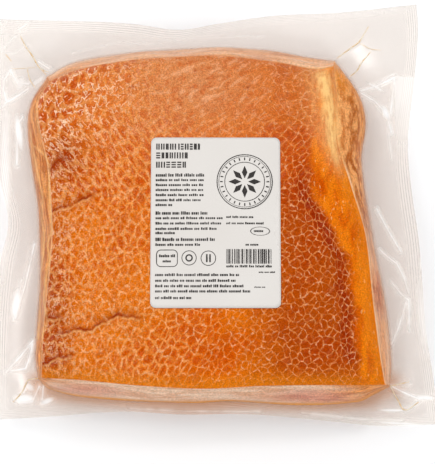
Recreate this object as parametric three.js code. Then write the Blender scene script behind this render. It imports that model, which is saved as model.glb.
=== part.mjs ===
// A slab of smoked pork belly, vacuum packed in a clear flat pouch with a label stuck on top.
// Millimetres, +Z up. The slab lies flat; +Y is the back edge and -Y the cut front edge.
// Outlines are set out from a point near the slab's middle, and the finished group is moved
// so that its origin is the middle of the pack's base.
import * as THREE from 'three';

// ---- driving dimensions -------------------------------------------------------------------
const FILM = 0.8;                 // the pouch's two webs, drawn as one skin
const GAP = 0.3;                  // clearance between touching pieces
const WALL_GAP = 0.4;             // the same on the sloping wall of the tray
const TOP = 46;                   // highest level of the slab's top face
const PARTING = 16;               // level at which the two webs meet round the slab
const RIM_DROP = 5;               // top face's middle down to its rim
const SHOULDER = 12;              // how far in from the rim the top face rounds over
const CROWN = 1.6;                // rise of the top face's middle over its flat
const FACE_SPAN = 240;            // the top face from edge to edge, for distances on it
const CORNER_REACH = 0.16;        // share of an edge that sinks with its corner
const SKIRT_DROOP = 12.5;         // fall of the skirt from the parting line to the table
const DROOP_LENGTH = 19;          // distance in which it falls most of that
const SEAL_STEP = 0.3;            // height of the pressed seal band over the skirt
const SEAL_WIDTH = 10;            // width of the seal band
const SEAL_MOST = 0.45;           // most of the skirt's width that the band takes
const LABEL = { width: 90, length: 120, x: -0.6, y: -12.8, corner: 4, thick: 0.5 };
const LABEL_CALM = 14;            // distance in which the face round the label gets uneven
const GRID = 34;                  // steps along each edge of the slab and the skirt
const LABEL_GRID = 10;            // steps along each edge of the label
const EDGE_BIAS = 0.55;           // 0: even steps, 1: steps crowded towards the corners

// how far the rim sinks at the corners, given as places (u, v) from the front left
const CORNER_SINKS = [
  { u: 0, v: 1, drop: 9 },
  { u: 1, v: 1, drop: 7 },
  { u: 0, v: 0, drop: 5 },
  { u: 1, v: 0, drop: 5 },
];

// folds pressed into the top face: start and end of each, its depth and half its width
const FOLDS = [
  { from: [-118, -3], to: [-92, 6], depth: 2.2, wide: 3.2 },
  { from: [-116, -85], to: [-84, -82], depth: 2.2, wide: 3 },
  { from: [-84, -82], to: [-50, -75], depth: 2.4, wide: 3.4 },
  { from: [-118, -107], to: [-104, -102], depth: 1.6, wide: 3 },
  { from: [-106, 68], to: [-88, 78], depth: 1.2, wide: 4 },
];

// the roll of fat along the right edge of the top face and the valley beside it
const ROLL = { height: 1.2, inside: 9, wide: 7 };
const VALLEY = { depth: 1.6, inside: 23, wide: 7 };

// lumps of meat on the right side: place from front to back, half length and how far they swell
const FLANK_LUMPS = [
  { v: 0.8, long: 0.09, swell: 2.6 },
  { v: 0.66, long: 0.05, swell: 1.8 },
  { v: 0.5, long: 0.06, swell: 1 },
];

// gathers of the film that run from the slab's corners to the pouch's
const GATHERS = [
  { u: 0, v: 1, ridges: 120, height: 2.6 },
  { u: 1, v: 1, ridges: 120, height: 2.6 },
  { u: 0, v: 0, ridges: 80, height: 2.2 },
  { u: 1, v: 0, ridges: 80, height: 2.2 },
];
const GATHER_REACH = 0.13;

// the side below the parting line: level, and how far in from the widest outline
const LOWER_WALL = [[FILM + GAP, 12], [3.2, 6.5], [7, 2.6], [11.5, 0.7], [PARTING, 0]];
// the side above it: share of the way up to the rim, and share of the way in to it
const UPPER_WALL = [[0.28, 0.12], [0.55, 0.34], [0.78, 0.62], [0.92, 0.84], [1, 1]];
// rings of the skirt between the slab and the seal band, as shares of the way
const SKIRT_RINGS = [0, 0.16, 0.35, 0.58, 0.8, 1];

// ---- outlines: knots of the four edges, front and back left to right, sides front to back --
const WIDEST = {
  front: [[-124.7, -118.4], [-117, -125.5], [-91, -131.6], [-18, -135.6], [10, -134.3],
    [58, -137], [99, -134.6], [110, -129.5], [121.1, -124]],
  right: [[121.1, -124], [122.3, -106], [119, -67], [111, -20], [103.5, 36],
    [106.8, 66], [102, 86], [85.2, 110.6]],
  back: [[-121.7, 98.7], [-104, 108.5], [-76.7, 114.4], [-40, 118], [3, 120.4],
    [41, 118], [64, 113.4], [85.2, 110.6]],
  left: [[-124.7, -118.4], [-127, -102], [-124.6, -50], [-126.5, 2], [-131.3, 30.4],
    [-135.3, 64], [-132.5, 80.2], [-121.7, 98.7]],
};
const TOP_FACE = {
  front: [[-120.4, -119.6], [-96, -121], [-59, -124.8], [-8, -127.6], [30, -125.5],
    [80, -124.8], [116, -124.5]],
  right: [[116, -124.5], [112.6, -105], [107.5, -62], [103.2, -19], [93, 16],
    [84.6, 46], [84.8, 80], [83.2, 102]],
  back: [[-119, 91.8], [-100.5, 98.4], [-69, 103.7], [-22, 107.3], [0, 108],
    [41, 103.6], [70, 99.6], [83.2, 102]],
  left: [[-120.4, -119.6], [-119.5, -90], [-115.8, -50], [-114, -20], [-117, 25],
    [-124.5, 58.7], [-125.8, 76], [-119, 91.8]],
};
const POUCH = {
  front: [[-155, -146.4], [-118, -144.3], [-68, -141], [-24, -143.2], [23, -142.9],
    [84, -148], [112, -150.4], [156, -149.5]],
  right: [[156, -149.5], [152.8, -115.5], [148, -80], [144.6, -21.4], [138.9, 26.5],
    [138, 56], [144, 103], [147, 137], [146, 156.2]],
  back: [[-160, 145.4], [-112, 144], [-60, 140.6], [-28, 136.4], [0, 141],
    [42, 147.3], [90, 150.6], [146, 156.2]],
  left: [[-155, -146.4], [-157, -83], [-154, -36], [-148.6, -6], [-155, 23],
    [-160, 70], [-161, 112], [-160, 145.4]],
};

// ---- small maths ---------------------------------------------------------------------------
const mix = (a, b, t) => a + (b - a) * t;
const bump = (x) => Math.exp(-x * x);
const arch = (t) => Math.sin(Math.PI * t);
const smooth = (x) => {
  const t = Math.min(Math.max(x, 0), 1);
  return t * t * (3 - 2 * t);
};
const total = (list, value) => list.reduce((sum, item) => sum + value(item), 0);

// the point at share t of the length of a smooth curve through the knots
function along(knots, t) {
  const far = [0];
  for (let k = 1; k < knots.length; k++) {
    far.push(far[k - 1] + Math.hypot(knots[k][0] - knots[k - 1][0], knots[k][1] - knots[k - 1][1]));
  }
  const last = knots.length - 1;
  const at = t * far[last];
  let i = 0;
  while (i < last - 1 && far[i + 1] < at) i++;
  const span = far[i + 1] - far[i];
  const s = (at - far[i]) / span;
  const slope = (k, axis) => {
    const before = Math.max(k - 1, 0);
    const after = Math.min(k + 1, last);
    return (knots[after][axis] - knots[before][axis]) / (far[after] - far[before]);
  };
  const start = 2 * s ** 3 - 3 * s ** 2 + 1;
  const leave = (s ** 3 - 2 * s ** 2 + s) * span;
  const arrive = (s ** 3 - s ** 2) * span;
  return [0, 1].map((axis) => start * knots[i][axis] + (1 - start) * knots[i + 1][axis]
    + leave * slope(i, axis) + arrive * slope(i + 1, axis));
}

// the point (u, v) of the patch stretched between an outline's four edges
function patch(outline, u, v) {
  const front = along(outline.front, u);
  const back = along(outline.back, u);
  const left = along(outline.left, v);
  const right = along(outline.right, v);
  return [0, 1].map((axis) => {
    const frontChord = mix(outline.front[0][axis], outline.front.at(-1)[axis], u);
    const backChord = mix(outline.back[0][axis], outline.back.at(-1)[axis], u);
    return mix(front[axis], back[axis], v) + mix(left[axis], right[axis], u)
      - mix(frontChord, backChord, v);
  });
}

// steps from 0 to 1 that crowd a little towards both ends
function stops(count) {
  return Array.from({ length: count + 1 }, (_, i) => mix(i / count,
    (1 - Math.cos(Math.PI * i / count)) / 2, EDGE_BIAS));
}

// the (u, v) places round a patch's rim, anticlockwise from its front left corner
function rimPlaces(count) {
  const stop = stops(count);
  const places = [];
  for (let i = 0; i < count; i++) places.push([stop[i], 0]);
  for (let i = 0; i < count; i++) places.push([1, stop[i]]);
  for (let i = 0; i < count; i++) places.push([stop[count - i], 1]);
  for (let i = 0; i < count; i++) places.push([0, stop[count - i]]);
  return places;
}

// moves a point straight away from the middle of the slab, or towards it where far is negative
function outward([x, y], far) {
  const reach = 1 + far / Math.hypot(x, y);
  return [x * reach, y * reach];
}

// ---- the slab's top face -------------------------------------------------------------------
function cornerSink(u, v) {
  return total(CORNER_SINKS, (corner) => corner.drop
    * bump(Math.hypot(u - corner.u, v - corner.v) / CORNER_REACH));
}

function foldDepth(x, y) {
  return total(FOLDS, ({ from, to, depth, wide }) => {
    const run = [to[0] - from[0], to[1] - from[1]];
    const share = ((x - from[0]) * run[0] + (y - from[1]) * run[1]) / (run[0] ** 2 + run[1] ** 2);
    const s = Math.min(Math.max(share, 0), 1);
    const off = Math.hypot(x - from[0] - s * run[0], y - from[1] - s * run[1]);
    return depth * bump(off / wide);
  });
}

// 1 under the label, where the face stays flat, falling to 0 round it
function underLabel(x, y) {
  const past = Math.max(Math.abs(x - LABEL.x) - LABEL.width / 2,
    Math.abs(y - LABEL.y) - LABEL.length / 2);
  return 1 - smooth(past / LABEL_CALM);
}

// slow unevenness of the meat under the film
function unevenness(x, y) {
  return 0.7 * Math.sin(x / 17 + 1.3) * Math.sin(y / 21 + 0.4)
    + 0.5 * Math.sin(x / 9.5 - y / 13 + 2.1) + 0.35 * Math.sin(y / 8 + x / 26);
}

function rolledEdge(u, v) {
  const inside = (1 - u) * FACE_SPAN;
  const roll = ROLL.height * bump((inside - ROLL.inside) / ROLL.wide);
  const valley = VALLEY.depth * bump((inside - VALLEY.inside) / VALLEY.wide);
  return (roll - valley) * smooth(v / 0.1) * smooth((1 - v) / 0.1);
}

function dome(u, v) {
  return CROWN * (1 - (2 * u - 1) ** 2) * (1 - (2 * v - 1) ** 2);
}

// level of the top face at place (u, v) of its patch, whose point is (x, y)
function topLevel(u, v, x, y) {
  const toEdge = Math.min(u, 1 - u, v, 1 - v) * FACE_SPAN;
  const round = 1 - Math.min(toEdge / SHOULDER, 1);
  const loose = (1 - underLabel(x, y)) * (1 - round);
  return TOP - CROWN + dome(u, v) - RIM_DROP * round ** 2 - cornerSink(u, v)
    + loose * (unevenness(x, y) - foldDepth(x, y) + rolledEdge(u, v));
}

function topFace(u, v) {
  const [x, y] = patch(TOP_FACE, u, v);
  return [x, y, topLevel(u, v, x, y)];
}

// ---- the slab's sides ----------------------------------------------------------------------
function flankSwell(v, share) {
  return total(FLANK_LUMPS, (lump) => lump.swell * bump((v - lump.v) / lump.long)) * arch(share);
}

// the streaky cut faces swell and sink a little as they run along
function cutSwell(run, share) {
  return 0.9 * Math.sin(run * 23) * arch(share) * smooth(run / 0.05) * smooth((1 - run) / 0.05);
}

function upperWall(u, v, [level, share]) {
  const wide = patch(WIDEST, u, v);
  const rim = patch(TOP_FACE, u, v);
  const onSide = u === 0 || u === 1;
  const swell = cutSwell(onSide ? v : u, share) + (u === 1 ? flankSwell(v, share) : 0);
  const [x, y] = outward([mix(wide[0], rim[0], share), mix(wide[1], rim[1], share)], swell);
  return [x, y, mix(PARTING, topLevel(u, v, ...rim), level)];
}

function lowerWall(u, v, [level, inset]) {
  const [x, y] = outward(patch(WIDEST, u, v), -inset);
  return [x, y, level];
}

// ---- the pouch's skirt -----------------------------------------------------------------------
function gatherHeight(u, v, share) {
  return total(GATHERS, (gather) => {
    const across = (u - gather.u) - (v - gather.v);
    const reach = Math.hypot(u - gather.u, v - gather.v) / GATHER_REACH;
    return gather.height * Math.cos(across * gather.ridges) * bump(reach);
  }) * arch(share);
}

// slow waves along the skirt, larger towards its free edge
function skirtWave(x, y, share) {
  return share * (1.5 * Math.sin(x / 23 + 0.8) * Math.cos(y / 31)
    + 0.9 * Math.sin((x - y) / 17 + 1.9));
}

// share of the way from the slab to the free edge at which the seal band begins
function sealShare(inner, outer) {
  return 1 - Math.min(SEAL_WIDTH / Math.hypot(outer[0] - inner[0], outer[1] - inner[1]), SEAL_MOST);
}

// a point of the skirt: ring is its share of the way to the seal band, or 'edge' for the free edge
function skirt(u, v, ring, depth) {
  const inner = outward(patch(WIDEST, u, v), WALL_GAP);
  const outer = patch(POUCH, u, v);
  const share = ring === 'edge' ? 1 : ring * sealShare(inner, outer);
  const x = mix(inner[0], outer[0], share);
  const y = mix(inner[1], outer[1], share);
  const droop = SKIRT_DROOP * (1 - Math.exp(-Math.hypot(x - inner[0], y - inner[1]) / DROOP_LENGTH));
  const seal = ring === 'edge' || ring === 1 ? SEAL_STEP : 0;
  const level = PARTING - droop + skirtWave(x, y, share) + gatherHeight(u, v, share) + seal;
  return [x, y, Math.max(level, 2 * FILM) - depth];
}

// a ring of the tray under the slab, extra outside the slab's own wall
function trayWall(u, v, [level, inset], extra) {
  const [x, y] = outward(patch(WIDEST, u, v), extra - inset);
  return [x, y, level];
}

// ---- closed skins -------------------------------------------------------------------------------
// A closed body made of rings of points, stitched in order from its lower cap to its upper one.
// A cap is either flat, or a grid whose inner points a function of (u, v) gives.
class Skin {
  constructor(count) {
    this.count = count;
    this.points = [];
    this.faces = [];
  }

  ring(place) {
    const start = this.points.length;
    for (const [u, v] of rimPlaces(this.count)) this.points.push(place(u, v));
    return start;
  }

  stitch(rings) {
    const size = 4 * this.count;
    for (let r = 1; r < rings.length; r++) {
      const [low, high] = [rings[r - 1], rings[r]];
      for (let i = 0; i < size; i++) {
        const j = (i + 1) % size;
        this.faces.push([low + i, low + j, high + j], [low + i, high + j, high + i]);
      }
    }
  }

  flatCap(ring, up) {
    const outline = this.points.slice(ring, ring + 4 * this.count);
    const flat = outline.map(([x, y]) => new THREE.Vector2(x, y));
    for (const triangle of THREE.ShapeUtils.triangulateShape(flat, [])) {
      const face = triangle.map((corner) => ring + corner);
      this.faces.push(up ? face : face.reverse());
    }
  }

  gridCap(ring, place, up) {
    const n = this.count;
    const stop = stops(n);
    const firstInside = this.points.length;
    for (let i = 1; i < n; i++) {
      for (let j = 1; j < n; j++) this.points.push(place(stop[i], stop[j]));
    }
    const index = (i, j) => {
      if (j === 0) return ring + i;
      if (i === n) return ring + n + j;
      if (j === n) return ring + 3 * n - i;
      if (i === 0) return ring + 4 * n - j;
      return firstInside + (i - 1) * (n - 1) + j - 1;
    };
    for (let i = 0; i < n; i++) {
      for (let j = 0; j < n; j++) {
        const quad = [index(i, j), index(i + 1, j), index(i + 1, j + 1), index(i, j + 1)];
        const towardsMiddle = (i < n / 2) === (j < n / 2);
        const [a, b, c, d] = towardsMiddle ? quad : [...quad.slice(1), quad[0]];
        this.faces.push(...(up ? [[a, b, c], [a, c, d]] : [[c, b, a], [d, c, a]]));
      }
    }
  }

  geometry() {
    const geometry = new THREE.BufferGeometry();
    geometry.setAttribute('position', new THREE.Float32BufferAttribute(this.points.flat(), 3));
    geometry.setIndex(this.faces.flat());
    geometry.computeVertexNormals();
    return geometry;
  }
}

function slabGeometry() {
  const skin = new Skin(GRID);
  const rings = [
    ...LOWER_WALL.map((step) => skin.ring((u, v) => lowerWall(u, v, step))),
    ...UPPER_WALL.map((step) => skin.ring((u, v) => upperWall(u, v, step))),
  ];
  skin.stitch(rings);
  skin.flatCap(rings[0], false);
  skin.gridCap(rings.at(-1), topFace, true);
  return skin.geometry();
}

// the film under the slab and the welded skirt round it; over the slab the film has no
// thickness worth a solid, so the pouch is open there
function pouchGeometry() {
  const skin = new Skin(GRID);
  const tray = (extra, floor) => {
    const wall = [[floor, LOWER_WALL[0][1]], ...LOWER_WALL.slice(1, -1)];
    return wall.map((step) => skin.ring((u, v) => trayWall(u, v, step, extra)));
  };
  const skirtRings = (depth) => [...SKIRT_RINGS, 'edge'].map(
    (ring) => skin.ring((u, v) => skirt(u, v, ring, depth)),
  );
  const rings = [
    ...tray(WALL_GAP + FILM, 0),
    ...skirtRings(FILM),
    ...skirtRings(0).reverse(),
    ...tray(WALL_GAP, FILM).reverse(),
  ];
  skin.stitch(rings);
  skin.flatCap(rings[0], false);
  skin.flatCap(rings.at(-1), true);
  return skin.geometry();
}

// ---- the label --------------------------------------------------------------------------------
// a rounded rectangle whose four edges meet half way round its corner arcs; the second knot past
// each corner keeps the long edge straight
function labelOutline() {
  const { width, length, x, y, corner } = LABEL;
  const cut = corner * (1 - Math.SQRT1_2);
  const [left, right] = [x - width / 2, x + width / 2];
  const [front, back] = [y - length / 2, y + length / 2];
  const row = (at, inward) => [[left + cut, at + inward * cut], [left + corner, at],
    [left + 2 * corner, at], [right - 2 * corner, at],
    [right - corner, at], [right - cut, at + inward * cut]];
  const column = (at, inward) => [[at + inward * cut, front + cut], [at, front + corner],
    [at, front + 2 * corner], [at, back - 2 * corner],
    [at, back - corner], [at + inward * cut, back - cut]];
  return { front: row(front, 1), back: row(back, -1), left: column(left, 1), right: column(right, -1) };
}

// the slab's level under the label, read from the plan position
function labelBed(x, y) {
  const { front, left } = TOP_FACE;
  const u = (x - front[0][0]) / (front.at(-1)[0] - front[0][0]);
  const v = (y - left[0][1]) / (left.at(-1)[1] - left[0][1]);
  return TOP - CROWN + dome(u, v);
}

function labelGeometry() {
  const skin = new Skin(LABEL_GRID);
  const outline = labelOutline();
  const face = (lift) => (u, v) => {
    const [x, y] = patch(outline, u, v);
    return [x, y, labelBed(x, y) + lift];
  };
  const [under, over] = [face(GAP), face(GAP + LABEL.thick)];
  const rings = [skin.ring(under), skin.ring(over)];
  skin.stitch(rings);
  skin.gridCap(rings[0], under, false);
  skin.gridCap(rings[1], over, true);
  return skin.geometry();
}

// ---- the pack -------------------------------------------------------------------------------------
function piece(name, geometry, look) {
  const mesh = new THREE.Mesh(geometry, new THREE.MeshStandardMaterial({ metalness: 0, ...look }));
  mesh.name = name;
  return mesh;
}

const pack = new THREE.Group();
pack.add(piece('pork_belly', slabGeometry(), { color: 0xc4621f, roughness: 0.42 }));
pack.add(piece('pouch', pouchGeometry(),
  { color: 0xe9e4de, roughness: 0.18, opacity: 0.4, transparent: true }));
pack.add(piece('label', labelGeometry(), { color: 0xece8e4, roughness: 0.55 }));

const box = new THREE.Box3().setFromObject(pack);
const middle = box.getCenter(new THREE.Vector3());
pack.position.set(-middle.x, -middle.y, -box.min.z);

export default pack;
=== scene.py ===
"""Looks of a vacuum-packed slab of smoked pork belly: the meat, its film, the label and its print.

Design sizes are in millimetres, measured from the same point as the CAD outlines; to_frame turns
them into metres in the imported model's frame.
"""
import math
import random

import bpy
import numpy as np
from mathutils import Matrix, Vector
from mathutils.bvhtree import BVHTree


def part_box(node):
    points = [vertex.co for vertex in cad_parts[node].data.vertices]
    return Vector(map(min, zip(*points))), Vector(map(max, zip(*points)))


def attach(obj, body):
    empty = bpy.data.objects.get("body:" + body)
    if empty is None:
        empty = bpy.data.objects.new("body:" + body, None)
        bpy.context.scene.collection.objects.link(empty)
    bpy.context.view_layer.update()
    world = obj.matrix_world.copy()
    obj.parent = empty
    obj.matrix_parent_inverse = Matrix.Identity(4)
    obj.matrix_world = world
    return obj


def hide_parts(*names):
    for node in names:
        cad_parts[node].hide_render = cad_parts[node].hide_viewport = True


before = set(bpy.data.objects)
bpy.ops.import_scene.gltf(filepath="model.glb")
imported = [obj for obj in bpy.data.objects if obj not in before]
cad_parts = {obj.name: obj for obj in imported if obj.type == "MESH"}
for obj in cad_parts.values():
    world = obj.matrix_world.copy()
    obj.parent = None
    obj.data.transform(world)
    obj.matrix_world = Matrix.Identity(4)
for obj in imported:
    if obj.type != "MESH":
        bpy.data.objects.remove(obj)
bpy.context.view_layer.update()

# ---- sizes of the slab and the pouch, mm ----
MM = 0.001
FILM = 0.8                  # the CAD pouch's skin, and its gap to the slab that stands on it
GAP = 0.3
TOP = 46
PARTING = 16                # level at which the film leaves the slab
RIM_DROP = 5
SHOULDER = 12
CROWN = 1.6
FACE_SPAN = 240
CORNER_REACH = 0.16         # share of the face
SKIRT_DROOP = 12.5
DROOP_LENGTH = 19
SEAL_WIDTH = 10
FOOT = 0.25                 # film's outer face out from the slab where the skirt begins
FILM_LIFT = 0.35            # and over the slab's top face
WEBS = 0.35                 # between the two webs' outer faces in the skirt
LOWEST = 0.05               # lowest level of the film under the slab, and of the lower web
LOWEST_WEB = 0.3
STUCK = 0.12                # what is stuck on the film lies this far over it
NET_RELIEF = 0.22
LABEL = {"width": 90, "length": 120, "x": -0.6, "y": -12.8, "corner": 4, "thick": 0.22}
LABEL_CALM = 14             # round the label, the width in which the face evens out

CORNER_SINKS = [(0, 1, 9), (1, 1, 7), (0, 0, 5), (1, 0, 5)]
ROLL = {"height": 1.2, "inside": 9, "wide": 7}
VALLEY = {"depth": 1.6, "inside": 23, "wide": 7}
FLANK_LUMPS = [(0.8, 0.09, 2.6), (0.66, 0.05, 1.8), (0.5, 0.06, 1)]
LOWER_WALL = [(FILM + GAP, 12), (3.2, 6.5), (7, 2.6), (11.5, 0.7), (PARTING, 0)]
UPPER_WALL = [(0, 0), (0.28, 0.12), (0.55, 0.34), (0.78, 0.62), (0.92, 0.84), (1, 1)]

WIDEST = {
    "front": [(-124.7, -118.4), (-117, -125.5), (-91, -131.6), (-18, -135.6), (10, -134.3),
              (58, -137), (99, -134.6), (110, -129.5), (121.1, -124)],
    "right": [(121.1, -124), (122.3, -106), (119, -67), (111, -20), (103.5, 36),
              (106.8, 66), (102, 86), (85.2, 110.6)],
    "back": [(-121.7, 98.7), (-104, 108.5), (-76.7, 114.4), (-40, 118), (3, 120.4),
             (41, 118), (64, 113.4), (85.2, 110.6)],
    "left": [(-124.7, -118.4), (-127, -102), (-124.6, -50), (-126.5, 2), (-131.3, 30.4),
             (-135.3, 64), (-132.5, 80.2), (-121.7, 98.7)],
}
TOP_FACE = {
    "front": [(-120.4, -119.6), (-96, -121), (-59, -124.8), (-8, -127.6), (30, -125.5),
              (80, -124.8), (116, -124.5)],
    "right": [(116, -124.5), (112.6, -105), (107.5, -62), (103.2, -19), (93, 16),
              (84.6, 46), (84.8, 80), (83.2, 102)],
    "back": [(-119, 91.8), (-100.5, 98.4), (-69, 103.7), (-22, 107.3), (0, 108),
             (41, 103.6), (70, 99.6), (83.2, 102)],
    "left": [(-120.4, -119.6), (-119.5, -90), (-115.8, -50), (-114, -20), (-117, 25),
             (-124.5, 58.7), (-125.8, 76), (-119, 91.8)],
}
POUCH = {
    "front": [(-155, -146.4), (-118, -144.3), (-68, -141), (-24, -143.2), (23, -142.9),
              (84, -148), (112, -150.4), (156, -149.5)],
    "right": [(156, -149.5), (152.8, -115.5), (148, -80), (144.6, -21.4), (138.9, 26.5),
              (138, 56), (144, 103), (147, 137), (146, 156.2)],
    "back": [(-160, 145.4), (-112, 144), (-60, 140.6), (-28, 136.4), (0, 141),
             (42, 147.3), (90, 150.6), (146, 156.2)],
    "left": [(-155, -146.4), (-157, -83), (-154, -36), (-148.6, -6), (-155, 23),
             (-160, 70), (-161, 112), (-160, 145.4)],
}

# ---- what shows on the meat, mm ----
# folds: two ends, depth and half the width; then the lines along their bottoms, darkened as painted
# shade, as they wander
FOLDS = [
    ((-118, -3), (-92, 6), 1.5, 3.2),
    ((-116, -85), (-84, -82), 1.4, 3),
    ((-84, -82), (-50, -75), 1.5, 3.4),
    ((-118, -107), (-104, -102), 1.1, 3),
    ((-106, 68), (-88, 78), 1, 4),
]
LIPPED_FOLDS = [
    [(-116, -4), (-107, -2), (-98, 1), (-93, 4), (-87, 7)],
    [(-117, -77), (-113, -79), (-108, -79)],
    [(-107, -90), (-98, -87), (-90, -87), (-85, -87), (-79, -82), (-74, -80), (-67, -77), (-60, -78),
     (-53, -80)],
    [(-119, -110), (-110, -106), (-104, -106), (-100, -104)],
]
FOLD_LINES = LIPPED_FOLDS + [[(-116, 26), (-112, 30), (-105, 33)]]
# pale strands of film and fat that run down the slab's left edge
STRANDS = [
    [(-128.9, 45), (-120.3, 36.5), (-116.6, 28), (-117.1, 13.6), (-116.2, -0.6), (-114.5, -17),
     (-117.9, -26), (-115.6, -38), (-118.8, -52), (-120, -66), (-117, -80), (-120.3, -92)],
    [(-132.6, 57), (-129.5, 40), (-125.7, 24), (-121.9, 6.5), (-123.1, -7.7), (-120.8, -17),
     (-121.2, -33), (-124.4, -50), (-123.4, -71), (-123.7, -92)],
]
SPECKS = [(-69, 95), (-59, 84), (-15, 96), (-25, 71), (-88, 62), (22, 84), (-40, 60)]
# the left border of the smooth band of fat, from the front to the back, and its ridge, where a highlight
# is painted
BAND_EDGE = [(99.3, -125), (98.8, -116.7), (97.6, -103), (95.8, -84), (94.4, -58), (91, -38),
             (84.5, -21), (74.5, -8), (67.4, 9), (65.5, 30), (70.5, 52), (74.4, 74), (75.8, 95),
             (76, 110)]
RIDGE = [(75.5, 93), (77.5, 81), (79.6, 68), (81.8, 40), (86, 22), (91, 4)]
# spots of the face: middle, half its width and length
PALE_SPOT = (-13, 88, 55, 44)
DARK_SPOT = (-107, 34, 15, 20)
CURLY_SPOT = (-90, 85, 38, 42)
# patches of the right side: y, share of the wall's height, half the length and height, strength
FLANK_DARK = [(64, 0.5, 20, 0.22, 0.8), (30, 0.75, 12, 0.3, 0.8), (6, 0.5, 16, 0.45, 1),
              (-16, 0.6, 14, 0.5, 0.8), (-62, 0.6, 13, 0.45, 0.9)]
FLANK_GOLD = [(97, 0.5, 14, 1, 1), (60, 0.04, 24, 0.16, 0.9), (0, 0.1, 30, 0.14, 0.6)]

CELL = 5.2                  # usual width of a cell of the net
CELL_DISORDER = 0.78
FINE_CELL = 3.0             # width of the small curls near the left edge
FINE_DISORDER = 0.9
LINE = 0.45                 # half the width of a line of the net
COARSER = 0.3               # what the left half's lines have more than that
CROWD = 6.5                 # how much more net lies in the strip beside the band of fat
CROWD_REACH = 16            # width of that strip
TALL = 0.7                  # the net's scale along y at the left, where its cells are longer
LOOSE = 0.74                # and along x and y towards the back, where they are larger
SWAY = (6.0, 6.0, 6.0)      # how far the net's lines sway, and how far they shake besides
SHAKE = (2.4, 2.4, 2.4)

# ---- what shows on the film, mm ----
# creases of the skirt, seen in the photograph: the points of each, its height and half its width
CREASES = [
    ([(-158, 134), (-144, 134), (-137, 137)], 0.4, 1.2),
    ([(-157, 145), (-154, 140)], 0.6, 1.4),
    ([(-145, 137), (-134, 145)], 0.7, 2.4),
    ([(-155, 123), (-150, 130), (-145, 133)], 0.6, 1.1),
    ([(-153, 120), (-146, 120), (-138, 124)], 0.5, 1.0),
    ([(-149, 107), (-154, 99), (-154, 92), (-152, 84)], 1.5, 1.3),
    ([(-149, 106), (-144, 96), (-136, 95)], 1.4, 1.3),
    ([(-136, 91), (-144, 86), (-152, 82), (-154, 79)], 1.5, 1.2),
    ([(-132, 95), (-126, 99)], 0.8, 0.8),
    ([(-132, 93), (-126, 97)], 0.8, 0.8),
    ([(-129, 112), (-121, 106)], 0.8, 0.8),
    ([(-139, 70), (-142, 66), (-143, 55), (-143, 36)], 1.9, 1.5),
    ([(-129, -23), (-135, -50), (-142, -75)], 1.1, 0.9),
    ([(-138, -48), (-142, -75)], 1.0, 0.9),
    ([(-129, -92), (-137, -101), (-148, -113)], 1.3, 1.0),
    ([(-129, -94), (-132, -106), (-134, -111), (-144, -112)], 1.3, 1.0),
    ([(104, 89), (114, 93), (124, 98), (129, 101)], 2.1, 1.3),
    ([(104, 87), (114, 82), (120, 76), (123, 71), (126, 60)], 1.8, 1.3),
    ([(129, 100), (127.5, 88), (125.5, 74)], 1.2, 1.2),
    ([(123, 71), (124, 55), (126, 40)], 0.6, 1.4),
    ([(114, 3), (122, -12), (131, -27)], 1.1, 1.0),
    ([(116, -27), (122, -32), (128, -36), (133, -46), (136, -57)], 1.1, 1.0),
    ([(123, -49), (132, -59)], 0.9, 1.0),
    ([(133, -60), (136, -62), (136, -83)], 1.4, 1.0),
    ([(130, -57), (134, -61)], 1.1, 0.8),
    ([(134, -64), (128, -83), (123, -94)], 1.0, 0.9),
    ([(123, -124), (132, -128), (143, -132)], 1.8, 1.4),
    ([(122, -123), (135, -120)], 1.0, 0.9),
    ([(132, -140), (142, -134)], 1.0, 0.9),
    ([(-124, -124), (-129, -134), (-138, -135)], 1.4, 1.2),
    ([(-121, -124), (-122, -133)], 1.0, 1.0),
    ([(-30, 128), (0, 131), (34, 131)], 0.35, 1.6),
    ([(-104, 118), (-70, 126), (-40, 124)], 0.35, 2.2),
    ([(-60, -139), (-20, -141), (30, -141)], 0.7, 1.2),
    ([(60, -142), (100, -146), (130, -147)], 0.8, 1.2),
]
CREASE_LIFT = 0.42          # share of its height that a crease rises by; the rest is painted as its shine
CREASE_SPREAD = 1.25        # and how far its rise spreads, in its own half widths
CREASE_LINE = 1.5           # half the width of the highlight painted along a crease
CREASE_FULL = 1.3           # height from which a crease's painted highlight shows in full
FAR_OFF = 9.0               # what a point far from every crease is told
GLOW = 0.5                  # how strong the painted sheen beside a crease is
GLOW_WIDTH = 2.6            # and how far that reaches
SEAL_RIB = 1.9              # from one rib of the weld to the next
# pale glare: middle, half its length across and along, degrees turned clockwise, strength
GLARES = [
    (122, 74, 2.6, 5, -20, 0.7), (115, 93, 6, 1.2, 25, 0.5), (-142, 96, 3.5, 5, 0, 0.3),
    (-142, 59, 2.2, 11, -8, 0.9), (-142, -65, 3, 10, 8, 0.8), (-135, -132, 7, 3, 0, 0.8),
    (-119, -134, 5, 2, -20, 0.6), (-131, -124, 3.6, 2.2, 30, 0.5), (146, -131, 7, 1.5, 0, 0.9),
    (146, -34, 1.3, 7, 5, 0.6), (124, -140, 9, 0.9, 0, 0.8),
    (129, -149, 15, 0.9, 3, 0.7), (148, -75, 5, 26, -6, 0.4), (-152, 20, 4, 60, 0, 0.45),
]
SEAL_GLOW = {"left": 128, "top": 103, "fade": 75, "strength": 0.36}     # painted reflection on the weld at the right
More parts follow.
